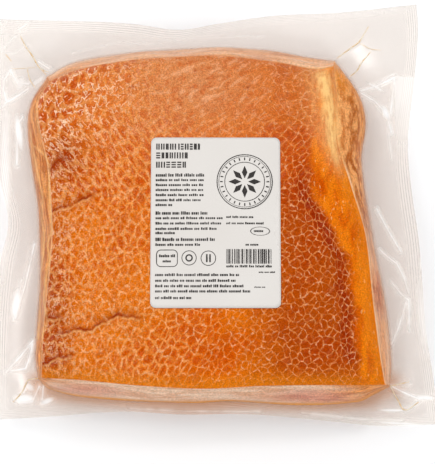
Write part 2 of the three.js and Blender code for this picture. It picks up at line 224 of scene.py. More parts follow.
# threads of gathered film that run from the slab's corners: the points of each and its radius
THREADS = [
    ([(-142.8, 132.3), (-139, 124.8), (-133, 115.8), (-129.3, 109), (-122.7, 100.8)], 0.5),
    ([(-129.3, 109), (-126.3, 105.3), (-121.2, 103.1)], 0.42),
    ([(-137.2, 107.6), (-134.9, 98.6), (-130.4, 91.1)], 0.34),
    ([(-153.4, 118.8), (-149, 113.5)], 0.34),
    ([(-148.1, 107.6), (-130.7, 107.6)], 0.22),
    ([(87, 113.3), (92, 117.8), (98.1, 122.9), (103.2, 126.9), (107, 133), (110.8, 139.5)], 0.48),
    ([(95.7, 99), (101.4, 104.6), (105, 111.1), (112, 120)], 0.48),
    ([(103.2, 126.9), (112.1, 122.1), (119.3, 121.4)], 0.28),
    ([(-124.9, -118.3), (-131.8, -119), (-134.2, -122.7), (-136.7, -127.7), (-142.7, -134.1)], 0.5),
    ([(121.2, -123.6), (126.5, -132), (132.1, -139.7), (142, -134.1)], 0.5),
    ([(121.9, -123.6), (135.3, -120.1)], 0.42),
]
THREAD_SIDES = 6
THREAD_STEPS = 36

# ---- meshes: points along an edge, how far they crowd at its ends, and rings up the walls ----
BELLY_GRID, BELLY_BIAS = 250, 0.25
UPPER_RINGS = 26
LOWER_RINGS = 10
OVER_GRID, OVER_BIAS = 150, 0.5
WALL_RINGS = 14
SKIRT_GRID, SKIRT_BIAS = 290, 0.2
FOOT_SHARES = np.linspace(0, 0.95, 7)       # up the lower wall, then out and back over the skirt
UNDER_SHARES = [0.001, 0.006, 0.02, *np.linspace(0.06, 0.985, 12), 0.997, 0.9995]
SKIRT_SHARES = [1, 0.997, *np.linspace(0.985, 0, 58)]
LABEL_RINGS = 24
LABEL_CORNER_STEPS = 9
FRAME_CORNER_STEPS = 6

# ---- the print, mm right and down from the label's upper left corner ----
INK_LIFT = 0.03
BIG = 3                     # from which height a word is a headline
STROKE = 0.95               # how bold its strokes are
INK_STEP = 2.5              # longest side of a patch of ink before it is split to follow the label
PRINT_SEED = 7
MARGIN = 3.4
HEADLINE_MARGIN = 3.6
# kinds of print: how high a row's blocks are, and how wide about a letter is
HEADLINE_TYPE, BOLD_TYPE, BODY_TYPE = (4.3, 3.1), (1.75, 1.15), (1.35, 1.15)
FOOT_TYPE, SIDE_TYPE, TINY_TYPE = (1.45, 1.1), (1.2, 0.95), (0.8, 0.7)
HEADLINES = [(4.4, 34), (10.7, 26), (17.3, 24.3)]                       # top and right end
BODY_ROWS = [(26.2, 37), (29.8, 37.2), (33.3, 37), (36.8, 37), (40.4, 37), (44.0, 37), (47.4, 14.8),
             (53.1, 39.4), (56.7, 50.3), (60.4, 49.9), (64.2, 45.7), (67.2, 18),
             (71.6, 46.2), (75.4, 35.2)]
BOLD_ROWS = (0, 7, 12)
FOOT_ROWS = [(96.4, 61.2), (100.4, 58.7), (104.2, 67.1), (107.8, 68.8), (112.4, 28.5)]
SIDE_ROWS = [(52.4, 56, 71.3), (52.4, 60.4, 78.4), (65.7, 75.4, 74.5)]  # left, top and right
TINY_ROWS = [(74.7, 94.8, 86), (71.7, 105.2, 79.3)]
BARS = (52.4, 79, 83.7, 89.2)
BAR_WIDTHS = [0.33, 0.33, 0.66, 0.99]
BAR_GAPS = [0.33, 0.4, 0.66, 0.9]
EMBLEM = (65.2, 31.5, 19.5)                                             # middle and radius
EMBLEM_RINGS = [(1, 0.6), (0.93, 0.3), (0.72, 0.45)]    # share of the radius, and line in mm
TICKS, PETALS = 28, 8
TICK = [(0.78, -0.02), (0.88, -0.02), (0.88, 0.02), (0.78, 0.02)]
PETAL = [(0.12, 0), (0.34, -0.1), (0.58, 0), (0.34, 0.1)]
RING_SIDES = 64

# ---- colours as display values, 0 to 255 ----
PALETTE = {
    "white": (255, 255, 255),
    # the smoked face, its net and its band of fat
    "rim": (211, 94, 0), "coarse rim": (216, 110, 16), "cell": (196, 76, 0),
    "bright": (218, 110, 8), "dull": (188, 74, 2), "deep": (142, 30, 0), "pale": (204, 136, 90),
    # the first two: painted shade and painted light of fine wrinkles on the face
    "painted_wrinkle_shade": (188, 76, 12), "painted_wrinkles": (242, 178, 134), "line": (228, 144, 78),
    # the second: the colour of the painted glints on the net's lines
    "coarse line": (238, 170, 102), "painted_glint": (252, 220, 194), "band": (197, 78, 0),
    "bright band": (233, 127, 15), "dash": (250, 196, 130), "lip": (238, 136, 18),
    # the first of these: painted shade in folds, also the colour of the dark specks
    # the second of these: painted highlight on the band's ridge and the folds' lips, also the colour of
    # the pale strands
    "fold": (150, 48, 4), "sheen_and_strands": (254, 207, 134),
    # the sides
    "fat": (222, 168, 132), "bright fat": (240, 206, 178), "seam": (208, 146, 104),
    "lean": (200, 124, 104), "bright lean": (224, 160, 136), "smoked": (190, 98, 24),
    "bright smoked": (240, 160, 86), "streak": (240, 188, 134), "lump": (198, 106, 40),
    "bright lump": (238, 168, 104), "gold": (236, 148, 52), "bark": (150, 72, 24),
    # the first: painted highlight where the film runs over the top edge of the walls
    "rim highlight": (246, 206, 160), "yolk": (230, 150, 44), "rind": (206, 122, 32),
    # film, paper and ink
    # the first: the film's milky white, also for its painted highlights; the second: painted warm shade
    # and reflection of the meat
    "haze_and_sheen": (243, 237, 231), "bounce": (206, 152, 112), "thread": (238, 204, 150),
    "bright thread": (254, 242, 220), "paper": (217, 212, 207), "bright paper": (228, 225, 221),
    "fibre": (205, 198, 190), "ink": (34, 31, 30), "worn ink": (62, 57, 54),
}
FILM_TINT = (0.945, 0.92, 0.9, 1)       # what light keeps on its way through the skirt
# the film's index, its gloss's roughness, and how much of the gloss is held back
SKIRT_GLOSS = {"index": 1.42, "roughness": 0.26, "held_back": 0.0}
OVER_GLOSS = {"index": 1.32, "roughness": 0.16, "held_back": 0.017}

# ---- the stage ----
CAMERA_ELEVATION = math.radians(80)
CAMERA_FAR = 1.3
CAMERA_LENS = 142.8
CAMERA_SENSOR = 36
CAMERA_AIM = (0.714, -15.167, 20)       # mm, in the design
FLOOR_SIDE = 12
FLOOR_LEVEL = -0.0004
FLOOR_COLOUR = (0.945, 0.96, 0.976, 1)
WORLD_COLOUR = (1, 0.99, 0.98, 1)
WORLD_LOW = 0.1             # the sky's radiance at the horizon and overhead
WORLD_BAND = 0.7            # what a band between them adds, seen in the film's creases
# softboxes: name, direction (azimuth from the front, anticlockwise seen from above, and elevation)
# in degrees, side in metres, watts, whether its mirror image shows
LAMPS = [
    ("key", 225, 52, 0.8, 7, False),
    ("back_right", 145, 46, 0.22, 3.4, True),
    ("left", 275, 40, 0.2, 3.7, True),
    ("right", 80, 38, 0.2, 2, True),
    ("front", 20, 48, 0.3, 3.5, False),
]
LAMP_FAR = 1.6


# ---- small maths ----
def mix(a, b, t):
    return a + (b - a) * t


def bump(x):
    return np.exp(-np.square(x))


def arch(t):
    return np.sin(math.pi * t)


def smooth(x):
    t = np.clip(x, 0, 1)
    return t * t * (3 - 2 * t)


def along(knots, t):
    """Points at shares t of the length of a smooth curve through the knots."""
    knots = np.array(knots, float)
    far = np.concatenate([[0], np.cumsum(np.hypot(*np.diff(knots, axis=0).T))])
    last = len(knots) - 1
    before = np.maximum(np.arange(last + 1) - 1, 0)
    after = np.minimum(np.arange(last + 1) + 1, last)
    slope = (knots[after] - knots[before]) / (far[after] - far[before])[:, None]
    at = np.asarray(t, float) * far[-1]
    i = np.clip(np.searchsorted(far, at, side="right") - 1, 0, last - 1)
    span = (far[i + 1] - far[i])[:, None]
    s = (at - far[i])[:, None] / span
    start = 2 * s ** 3 - 3 * s ** 2 + 1
    leave = (s ** 3 - 2 * s ** 2 + s) * span
    arrive = (s ** 3 - s ** 2) * span
    return start * knots[i] + (1 - start) * knots[i + 1] + leave * slope[i] + arrive * slope[i + 1]


def patch(outline, u, v):
    """Points (u, v) of the patch stretched between an outline's four edges."""
    front, back = along(outline["front"], u), along(outline["back"], u)
    left, right = along(outline["left"], v), along(outline["right"], v)
    u, v = np.asarray(u)[:, None], np.asarray(v)[:, None]
    front_chord, back_chord = (mix(*(np.array(outline[side][end]) for end in (0, -1)), u)
                               for side in ("front", "back"))
    return mix(front, back, v) + mix(left, right, u) - mix(front_chord, back_chord, v)


def outward(points, far):
    """Moves points straight away from the middle of the slab by far."""
    return points * (1 + np.asarray(far) / np.hypot(*points.T))[:, None]


def stack(points, level):
    return np.column_stack([points, np.broadcast_to(level, len(points))])


def beside(start, end, x, y):
    """Points' way off a straight piece, more than 0 at its left; past its ends; and from it."""
    (x0, y0), (x1, y1) = start, end
    run = np.hypot(x1 - x0, y1 - y0)
    share = ((x - x0) * (x1 - x0) + (y - y0) * (y1 - y0)) / run ** 2
    off = ((x1 - x0) * (y - y0) - (y1 - y0) * (x - x0)) / run
    over = np.maximum(np.maximum(-share, share - 1), 0) * run
    return off, over, np.hypot(off, over)


def off_line(points, x, y):
    """Distance of points (x, y) from a line of straight pieces."""
    return np.min([beside(*ends, x, y)[2] for ends in zip(points, points[1:])], axis=0)


def off_lines(lines, x, y):
    return np.min([off_line(line, x, y) for line in lines], axis=0)


def spot(x, y, place):
    """1 in the middle of a spot, less further out."""
    middle_x, middle_y, wide, long_ = place
    return bump((x - middle_x) / wide) * bump((y - middle_y) / long_)


# ---- the slab's form ----
def corner_sink(u, v):
    return sum(drop * bump(np.hypot(u - cu, v - cv) / CORNER_REACH) for cu, cv, drop in CORNER_SINKS)


def fold_depth(x, y):
    return sum(deep * bump(off_line(ends, x, y) / wide) for *ends, deep, wide in FOLDS)


def under_label(x, y):
    past = np.maximum(abs(x - LABEL["x"]) - LABEL["width"] / 2, abs(y - LABEL["y"]) - LABEL["length"] / 2)
    return 1 - smooth(past / LABEL_CALM)


def unevenness(x, y):
    return (0.7 * np.sin(x / 17 + 1.3) * np.sin(y / 21 + 0.4)
            + 0.5 * np.sin(x / 9.5 - y / 13 + 2.1) + 0.35 * np.sin(y / 8 + x / 26))


def rolled_edge(u, v):
    inside = (1 - u) * FACE_SPAN
    roll = ROLL["height"] * bump((inside - ROLL["inside"]) / ROLL["wide"])
    valley = VALLEY["depth"] * bump((inside - VALLEY["inside"]) / VALLEY["wide"])
    return (roll - valley) * smooth(v / 0.1) * smooth((1 - v) / 0.1)


def top_level(u, v, x, y):
    to_edge = np.minimum(np.minimum(u, 1 - u), np.minimum(v, 1 - v)) * FACE_SPAN
    round_ = 1 - np.minimum(to_edge / SHOULDER, 1)
    loose = (1 - under_label(x, y)) * (1 - round_)
    dome = CROWN * (1 - (2 * u - 1) ** 2) * (1 - (2 * v - 1) ** 2)
    return (TOP - CROWN + dome - RIM_DROP * round_ ** 2 - corner_sink(u, v)
            + loose * (unevenness(x, y) - fold_depth(x, y) + rolled_edge(u, v)))


def top_face(u, v):
    points = patch(TOP_FACE, u, v)
    return stack(points, top_level(u, v, *points.T))


def flank_swell(v, share):
    return sum(swell * bump((v - at) / long_) for at, long_, swell in FLANK_LUMPS) * arch(share)


def cut_swell(run, share):
    return 0.9 * np.sin(run * 23) * arch(share) * smooth(run / 0.05) * smooth((1 - run) / 0.05)


def profile(steps, t):
    """The wall's (level, way in) at share t of its list of steps."""
    at = np.linspace(0, 1, len(steps))
    return [np.interp(t, at, column) for column in np.array(steps, float).T]


def upper_wall(u, v, t):
    level, share = profile(UPPER_WALL, t)
    rim = patch(TOP_FACE, u, v)
    on_side = (u == 0) | (u == 1)
    swell = cut_swell(np.where(on_side, v, u), share) + np.where(u == 1, flank_swell(v, share), 0)
    points = outward(mix(patch(WIDEST, u, v), rim, share), swell)
    return stack(points, mix(PARTING, top_level(u, v, *rim.T), level))


def lower_wall(u, v, t):
    level, inset = profile(LOWER_WALL, t)
    return stack(outward(patch(WIDEST, u, v), -inset), level)


# ---- meshes from rings and grids ----
def quads_between(low, high, count):
    """Faces between two rings of count points, which begin at points low and high."""
    i = np.arange(count)
    j = (i + 1) % count
    return np.column_stack([low + i, low + j, high + j, high + i]).tolist()


class Skin:
    """Rings of points that are stitched in order, and may be closed by a grid above and a face below."""

    def __init__(self, count, bias):
        self.count, self.size = count, 0
        even = np.linspace(0, 1, count + 1)
        self.stop = mix(even, (1 - np.cos(math.pi * even)) / 2, bias)
        ahead, back = self.stop[:-1], self.stop[:0:-1]
        zero, one = np.zeros(count), np.ones(count)
        self.u = np.concatenate([ahead, one, back, zero])
        self.v = np.concatenate([zero, ahead, one, back])
        self.points, self.notes, self.faces = [], [], []

    def add(self, points, *notes):
        """Adds points, and notes that are kept with them; returns the number of the first."""
        start = self.size
        self.points.append(points)
        self.notes.append(np.column_stack([np.broadcast_to(note, len(points)) for note in notes]))
        self.size += len(points)
        return start

    def ring(self, points, *notes):
        return self.add(points, self.u, self.v, *notes)

    def stitch(self, rings):
        for low, high in zip(rings, rings[1:]):
            self.faces += quads_between(low, high, 4 * self.count)

    def floor(self, ring):
        """One flat face under a ring."""
        self.faces.append(list(range(ring, ring + 4 * self.count))[::-1])

    def cap(self, ring, place, note):
        n = self.count
        u, v = (grid.ravel() for grid in np.meshgrid(self.stop[1:-1], self.stop[1:-1], indexing="ij"))
        start = self.add(place(u, v), u, v, note)
        index = np.zeros((n + 1, n + 1), int)
        k = np.arange(n)
        index[k, 0] = ring + k
        index[n, k] = ring + n + k
        index[n - k, n] = ring + 2 * n + k
        index[0, n - k] = ring + 3 * n + k
        index[1:-1, 1:-1] = start + np.arange((n - 1) ** 2).reshape(n - 1, n - 1)
        quads = np.stack([index[:-1, :-1], index[1:, :-1], index[1:, 1:], index[:-1, 1:]], -1)
        self.faces += quads.reshape(-1, 4).tolist()

    def arrays(self):
        return np.concatenate(self.points), np.concatenate(self.notes).T


label_low, label_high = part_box("label")
SHIFT = np.array([(label_low.x + label_high.x) / 2 - LABEL["x"] * MM,
                  (label_low.y + label_high.y) / 2 - LABEL["y"] * MM, 0])


def to_frame(points):
    """Points of the design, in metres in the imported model's frame."""
    return np.asarray(points, float) * MM + SHIFT


def make_piece(name, points, faces, material, marks=None):
    mesh = bpy.data.meshes.new(name)
    mesh.from_pydata(to_frame(points).tolist(), [], faces)
    mesh.update()
    mesh.polygons.foreach_set("use_smooth", [True] * len(mesh.polygons))
    for mark, values in (marks or {}).items():
        layer = mesh.attributes.new(mark, "FLOAT", "POINT")
        layer.data.foreach_set("value", np.broadcast_to(values, len(mesh.vertices)).astype(np.float32))
    mesh.materials.append(material)
    piece = bpy.data.objects.new(name, mesh)
    bpy.context.collection.objects.link(piece)
    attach(piece, "root")
    return piece


# ---- node helpers, for shaders and for geometry nodes alike ----
def linear(*colour):
    """A colour read as 0 to 255 display values, as the linear colour a shader takes."""
    shares = (c / 255 for c in colour)
    return (*(c / 12.92 if c <= 0.04045 else ((c + 0.055) / 1.055) ** 2.4 for c in shares), 1)


class Value:
    """A node's output. Arithmetic on it adds nodes to its tree."""

    def __init__(self, nodes, socket):
        self.nodes, self.socket = nodes, socket

    def __add__(self, other):
        return self.nodes.math("ADD", self, other)

    def __sub__(self, other):
        return self.nodes.math("SUBTRACT", self, other)

    def __rsub__(self, other):
        return self.nodes.math("SUBTRACT", other, self)

    def __mul__(self, other):
        return self.nodes.math("MULTIPLY", self, other)

    def at_least(self, other):
        return self.nodes.math("MAXIMUM", self, other)

    def vector(self, operation, other):
        return self.nodes.node("ShaderNodeVectorMath", self, other, operation=operation)

    def step(self, low, high, to_low=0.0, to_high=1.0):
        """A smooth step of the value, from low to high."""
        return self.nodes.node("ShaderNodeMapRange", self, low, high, to_low, to_high,
                               interpolation_type="SMOOTHSTEP")


class Nodes:
    """Short calls that each add one node to a tree and return its output."""

    def __init__(self, tree):
        self.tree = tree

    def feed(self, socket, value):
        """Links a Value to a socket, or sets it to a number, a tuple or a colour of the palette."""
        if isinstance(value, Value):
            self.tree.links.new(value.socket, socket)
        elif socket.type == "RGBA" and isinstance(value, str):
            socket.default_value = linear(*PALETTE[value])
        else:
            socket.default_value = value

    def node(self, kind, *values, output=0, named=None, **settings):
        """Adds a node with its settings and feeds its inputs, in order or named."""
        made = self.tree.nodes.new(kind)
        for key, value in settings.items():
            setattr(made, key, value)
        for socket, value in zip(made.inputs, values):
            self.feed(socket, value)
        for name, value in (named or {}).items():
            self.feed(made.inputs[name], value)
        return Value(self, made.outputs[output]) if made.outputs else None

    def math(self, operation, *values, clamp=False):
        return self.node("ShaderNodeMath", *values, operation=operation, use_clamp=clamp)

    def noise(self, vector, scale, detail, roughness=0.5, distortion=0.0, output="Fac"):
        return self.node("ShaderNodeTexNoise", output=output, named={
            "Vector": vector, "Scale": scale, "Detail": detail, "Roughness": roughness,
            "Distortion": distortion})

    def to_cell_edge(self, vector, size, randomness):
        """How far a place is from the lines of a net whose cells have this size."""
        return self.node(
            "ShaderNodeTexVoronoi", output="Distance", voronoi_dimensions="2D",
            feature="DISTANCE_TO_EDGE",
            named={"Vector": vector, "Scale": 1 / size, "Randomness": randomness}) * size

    def blend(self, share, first, second, kind="MIX"):
        made = self.tree.nodes.new("ShaderNodeMix")
        made.data_type, made.blend_type = "RGBA", kind
        for index, value in ((0, share), (6, first), (7, second)):
            self.feed(made.inputs[index], value)
        return Value(self, made.outputs[2])

    def coats(self, colour, *coats):
        """A colour with coats of paint over it, each with its share."""
        for share, paint in coats:
            colour = self.blend(share, colour, paint)
        return colour

    def join(self, *parts):
        return self.node("ShaderNodeCombineXYZ", *parts)

    def mark(self, name):
        """A number kept at each point of the mesh."""
        if self.tree.bl_idname == "ShaderNodeTree":
            return self.node("ShaderNodeAttribute", output="Fac", attribute_name=name)
        return self.node("GeometryNodeInputNamedAttribute", data_type="FLOAT", named={"Name": name})

    def place(self):
        """The place in mm."""
        place = self.node("ShaderNodeTexCoord", output="Object")
        return place.vector("MULTIPLY", (1 / MM, 1 / MM, 1 / MM))

    def bump(self, height, strength, distance):
        return self.node("ShaderNodeBump", named={"Strength": strength, "Distance": distance,
                                                  "Height": height})


class Material(Nodes):
    """The nodes of a new material."""

    def __init__(self, name):
        self.material = bpy.data.materials.new(name)
        self.material.use_nodes = True
        super().__init__(self.material.node_tree)
        self.tree.nodes.clear()

    def finish(self, shader):
        self.node("ShaderNodeOutputMaterial", shader)
        return self.material

    def principled(self, **inputs):
        """Finishes with one plain shader; an input's name has _ for each space."""
        named = {name.replace("_", " "): value for name, value in inputs.items()}
        return self.finish(self.node("ShaderNodeBsdfPrincipled", named=named))


# ---- the net of creases in the smoked face ----
def past_band_edge(x, y):
    """How far points lie to the right of the band of fat's left border."""
    edge_x, edge_y = np.transpose(BAND_EDGE)
    return x - np.interp(y, edge_y, edge_x)


def net_place(x, y):
    """The net's own coordinates: turned by 45 degrees, stretched on the left, crowded beside the band."""
    back = smooth(y / 70)
    crowd = CROWD * smooth(past_band_edge(x, y) / CROWD_REACH + 1) * (1 - back)
    across = x * mix(1, LOOSE, back) + crowd
    ahead = (y + 20) * mix(1, TALL, smooth((30 - x) / 110)) - (1 - LOOSE) * 70 * smooth(y / 140)
    return {"net_x": (across + ahead) * math.sqrt(0.5), "net_y": (ahead - across) * math.sqrt(0.5)}


def net_field(nodes):
    """The net's own place there, and how far from its lines and from the small curls, in mm."""
    place = nodes.join(nodes.mark("net_x"), nodes.mark("net_y"))
    wander, flutter = (nodes.noise(place, scale, 1, output="Color").vector("SUBTRACT", (0.5, 0.5, 0.5))
                       for scale in (0.1, 0.4))
    swayed = place.vector("ADD", wander.vector("MULTIPLY", SWAY))
    curled = swayed.vector("ADD", flutter.vector("MULTIPLY", SWAY))
    shaken = swayed.vector("ADD", flutter.vector("MULTIPLY", SHAKE))
    return (place, nodes.to_cell_edge(shaken, CELL, CELL_DISORDER),
            nodes.to_cell_edge(curled, FINE_CELL, FINE_DISORDER))


def press_net(piece):
    """Raises the net's lines out of the face where the mark 'face' is set, with geometry nodes."""
    tree = bpy.data.node_groups.new("press_net", "GeometryNodeTree")
    for way in ("INPUT", "OUTPUT"):
        tree.interface.new_socket("Geometry", in_out=way, socket_type="NodeSocketGeometry")
    nodes = Nodes(tree)
    _, wide, fine = net_field(nodes)
    ridge = wide.step(1.6, 0.0) + fine.step(1.1, 0.0) * 0.35
    height = ridge * nodes.mark("face") * (NET_RELIEF * MM)
    offset = nodes.node("GeometryNodeInputNormal").vector("MULTIPLY", height)
    nodes.node("NodeGroupOutput", nodes.node("GeometryNodeSetPosition", named={
        "Geometry": nodes.node("NodeGroupInput"), "Offset": offset}))
    piece.modifiers.new("net", "NODES").node_group = tree
    graph = bpy.context.evaluated_depsgraph_get()
    made = bpy.data.meshes.new_from_object(piece.evaluated_get(graph))
    piece.modifiers.clear()
    old, piece.data = piece.data, made
    bpy.data.meshes.remove(old)


# ---- the meat ----
def net_lines(nodes, place, wide, fine):
    """How strongly a pale line shows at a place, and the painted glints on the lines, with the curls in
    their colour.
    """
    mark, noise = nodes.mark, nodes.noise
    gate = noise(place, 0.2, 2).step(0.34, 0.56, 0.25)
    wide = wide - mark("coarse") * COARSER
    mesh = wide.step(LINE * 1.5, LINE * 0.3) * gate * mark("netted")
    curl_gate = noise(place, 0.24, 1).step(0.44, 0.54)
    curls = fine.step(LINE, LINE * 0.3) * curl_gate * mark("wormy")
    net = mesh.at_least(curls)
    # random painted glints along the lines
    painted_glint = noise(place, 0.4, 1).step(0.52, 0.66)
    mottle = noise(place, 0.75, 2).step(0.5, 0.62) * (mark("coarse") + 0.2) * 0.34
    return net.at_least(mottle), (painted_glint * 0.36).at_least(curls) * net * 0.66


def face_colour(nodes, place, patchy):
    """Smoked fat: deeper in the middle of each cell, paler towards the net's lines."""
    mark, blend = nodes.mark, nodes.blend
    net_at, wide, fine = net_field(nodes)
    net, glints_and_curls = net_lines(nodes, place, wide, fine)
    # fine wrinkles are only painted: painted shade where this noise is high and painted light where it is
    # low, most in the pale spot
    painted_wrinkles = nodes.noise(net_at.vector("MULTIPLY", (0.3, 1, 1)), 0.42, 2, distortion=0.3)
    creased = mark("pale") * 0.45 + 0.05
    return net, nodes.coats(
        blend(mark("coarse"), "rim", "coarse rim"),
        (wide.step(0.3, 2.0), "cell"),
        (nodes.noise(place, 0.018, 3).step(0.42, 0.6), "bright"),
        (patchy.step(0.45, 0.7) * 0.5, "dull"),
        (mark("deep") * 0.9, "deep"),
        (mark("pale") * 0.75, "pale"),
        (painted_wrinkles.step(0.54, 0.64) * creased, "painted_wrinkle_shade"),
        (painted_wrinkles.step(0.46, 0.36) * creased, "painted_wrinkles"),
        (net * 0.62, blend(mark("coarse"), "line", "coarse line")),
        # painted glints, and the curls in their colour
        (glints_and_curls, "painted_glint"))


def side_colour(nodes, place):
    """Fat, lean and rind in long streaks, from the marks 'run' and 'rise' in mm."""
    mark, blend = nodes.mark, nodes.blend
    spread = nodes.join(mark("run") * 0.022, mark("rise") * 0.13)
    blotch = nodes.noise(place.vector("MULTIPLY", (1, 0.38, 1)), 0.26, 4, 0.62, 0.3)
    streak = nodes.noise(spread, 1.0, 4, 0.6, 0.4)
    finer = nodes.noise(spread, 2.3, 3, 0.6)
    smoked = nodes.coats(
        blend(finer.step(0.4, 0.6), "smoked", "bright smoked"),
        (streak.step(0.55, 0.63) * 0.55, "streak"),
        (mark("flank") * 0.85, blend(blotch.step(0.36, 0.6), "lump", "bright lump")),
        (mark("gold") * finer.step(0.3, 0.6, 0.45, 0.8), "gold"))
    return nodes.coats(
        blend(streak.step(0.38, 0.6), "fat", "bright fat"),
        (finer.step(0.48, 0.68) * 0.5, "seam"),
        (mark("lean"), blend(finer.step(0.4, 0.62), "lean", "bright lean")),
        (mark("meaty"), smoked),
        (mark("dark") * blotch.step(0.62, 0.38) * 0.75, "bark"),
        # painted highlight along the top edge of the left and right walls
        (mark("rim"), "rim highlight"),
        (mark("yolk"), "yolk"),
        (mark("rind"), "rind"))


def band_colour(nodes, place):
    """The rolled band of fat along the right edge, with pale dashes."""
    stretched = place.vector("MULTIPLY", (1, 0.4, 1))
    glow = nodes.noise(stretched, 0.12, 5, 0.62).step(0.34, 0.66)
    dash = nodes.noise(stretched, 0.5, 1).step(0.66, 0.74)
    return nodes.blend(dash * 0.5, nodes.blend(glow, "band", "bright band"), "dash")


def belly_material():
    nodes = Material("smoked_meat")
    place, mark = nodes.place(), nodes.mark
    patchy = nodes.noise(place, 0.07, 3)
    grain = nodes.noise(place, 1.0, 2, 0.7)
    net, colour = face_colour(nodes, place, patchy)
    colour = nodes.coats(
        colour,
        (mark("side"), side_colour(nodes, place)),
        (mark("band") * 0.92, band_colour(nodes, place)),
        (mark("lip") * 0.6, "lip"),
        # painted shade along the folds, and the dark specks
        (mark("crease"), "fold"))
    colour = nodes.blend(1, colour, grain.step(0.3, 0.7, 0.72, 1.2), "MULTIPLY")
    combed = nodes.noise(place.vector("MULTIPLY", (1, 0.22, 1)), 0.42, 3)
    # painted highlight on the band's ridge and the folds' lips, with the pale strands in the same colour
    sheen_and_strands = mark("sheen_and_strands") * grain.step(0.2, 0.6, 0.8) * combed.step(0.38, 0.58, 0.6)
    return nodes.principled(
        Base_Color=nodes.blend(sheen_and_strands, colour, "sheen_and_strands"), Roughness=patchy * 0.2 + 0.35,
        Specular_IOR_Level=0.02, Normal=nodes.bump(grain * 0.25 + net * 0.5, 0.5, 0.4 * MM))


def deep_marks(x, y, v, into_band, sketchy):
    """Where the face is darkest: beside the band, on the right, and along the left edge."""
    return np.max([
        bump((into_band + 7) / 9) * smooth((v - 0.01) / 0.08) * smooth((60 - y) / 60),
        0.7 * smooth((x - 5) / 50) * smooth((46 - y) / 50) * (into_band < 0),
        0.3 * sketchy * (into_band < 0),
        0.85 * spot(x, y, DARK_SPOT),
        bump((x + 113) / 13) * (0.3 + 0.35 * smooth((-30 - y) / 30)),
    ], axis=0)


def fold_marks(x, y):
    """Painted shade along folds, the dark specks, and the painted highlight on the lips of folds."""
    shaken = y + 0.5 * np.sin(x / 2.1) + 0.3 * np.sin(x / 0.8 + 2)
    folds, lips = off_lines(FOLD_LINES, x, shaken), off_lines(LIPPED_FOLDS, x, shaken + 1.9)
    specks = np.min([np.hypot(x - sx, y - sy) for sx, sy in SPECKS], axis=0)
    broken = 0.5 + 0.25 * np.sin(x / 3.7 + 1) + 0.2 * np.sin(x / 1.9)
    # painted shade along folds, narrow and broad, and the dark specks
    dark = broken * bump(folds / 0.85) + 0.42 * bump(folds / 3.4) + 0.7 * bump(specks / 1.1)
    return np.clip(dark, 0, 1), bump(lips / 0.6)


def top_marks(u, v, x, y, top):
    """Where on the top face each kind of colour lies, from 0 to 1 at every point."""
    wander = 1.3 * np.sin(y / 5.3) + 0.7 * np.sin(y / 2.3 + 1) + 0.4 * np.sin(y / 1.1 + x / 3)
    into_band = past_band_edge(x, y) + wander
    soft = mix(3.4, 5, smooth((y - 20) / 40))
    band = np.where(top, smooth((into_band + soft) / (2 * soft)), 0) * smooth(v / 0.015)
    netted = top * (1 - band)
    to_edge = smooth(np.minimum(np.minimum(u, v), 1 - v) * FACE_SPAN / 3)
    pale, coarse = spot(x, y, PALE_SPOT), smooth((10 - x) / 60)
    sketchy = bump((x - 58) / 36) * smooth((y - 10) / 40)
    worms = 0.5 * bump((x + 120) / 24) + 0.6 * spot(x, y, CURLY_SPOT) + 0.25 * smooth((-40 - x) / 30)
    dark, lips = fold_marks(x, y)
    return {
        "face": netted * to_edge * (1 - under_label(x, y)),
        "netted": netted * mix(1, 0.22, pale) * mix(1, 0.8, coarse),
        "wormy": netted * np.clip(0.04 + np.clip(worms, 0, 1) + 0.12 * sketchy + 0.2 * pale, 0, 1),
        "coarse": coarse,
        "band": band,
        "pale": top * pale,
        "deep": top * np.clip(deep_marks(x, y, v, into_band, sketchy), 0, 1),
        "lip": top * np.maximum(bump(v / 0.03) * (1 - band),
                                bump((1 - u) / 0.03) * smooth((40 - y) / 20)),
        "crease": top * dark,
        "sheen_and_strands": sheen_and_strands(x, y, lips),
    }


def sheen_and_strands(x, y, lips):
    """Painted highlight on the band's ridge and on the lit lip of each fold, and the pale strands on the
    left.
    """
    off = off_line(RIDGE, x, y) / mix(3.6, 6.6, smooth((y - 20) / 50))
    fade = smooth((y - 12) / 34)
    strands = off_lines(STRANDS, x, y)
    return np.max([fade * bump(off), 0.5 * fade * bump(off / 2), 0.4 * lips,
                   0.45 * bump(strands / 0.8)], axis=0)


def patches(places, y, height):
    return np.clip(sum(strength * spot(y, height, place) for *place, strength in places), 0, 1)


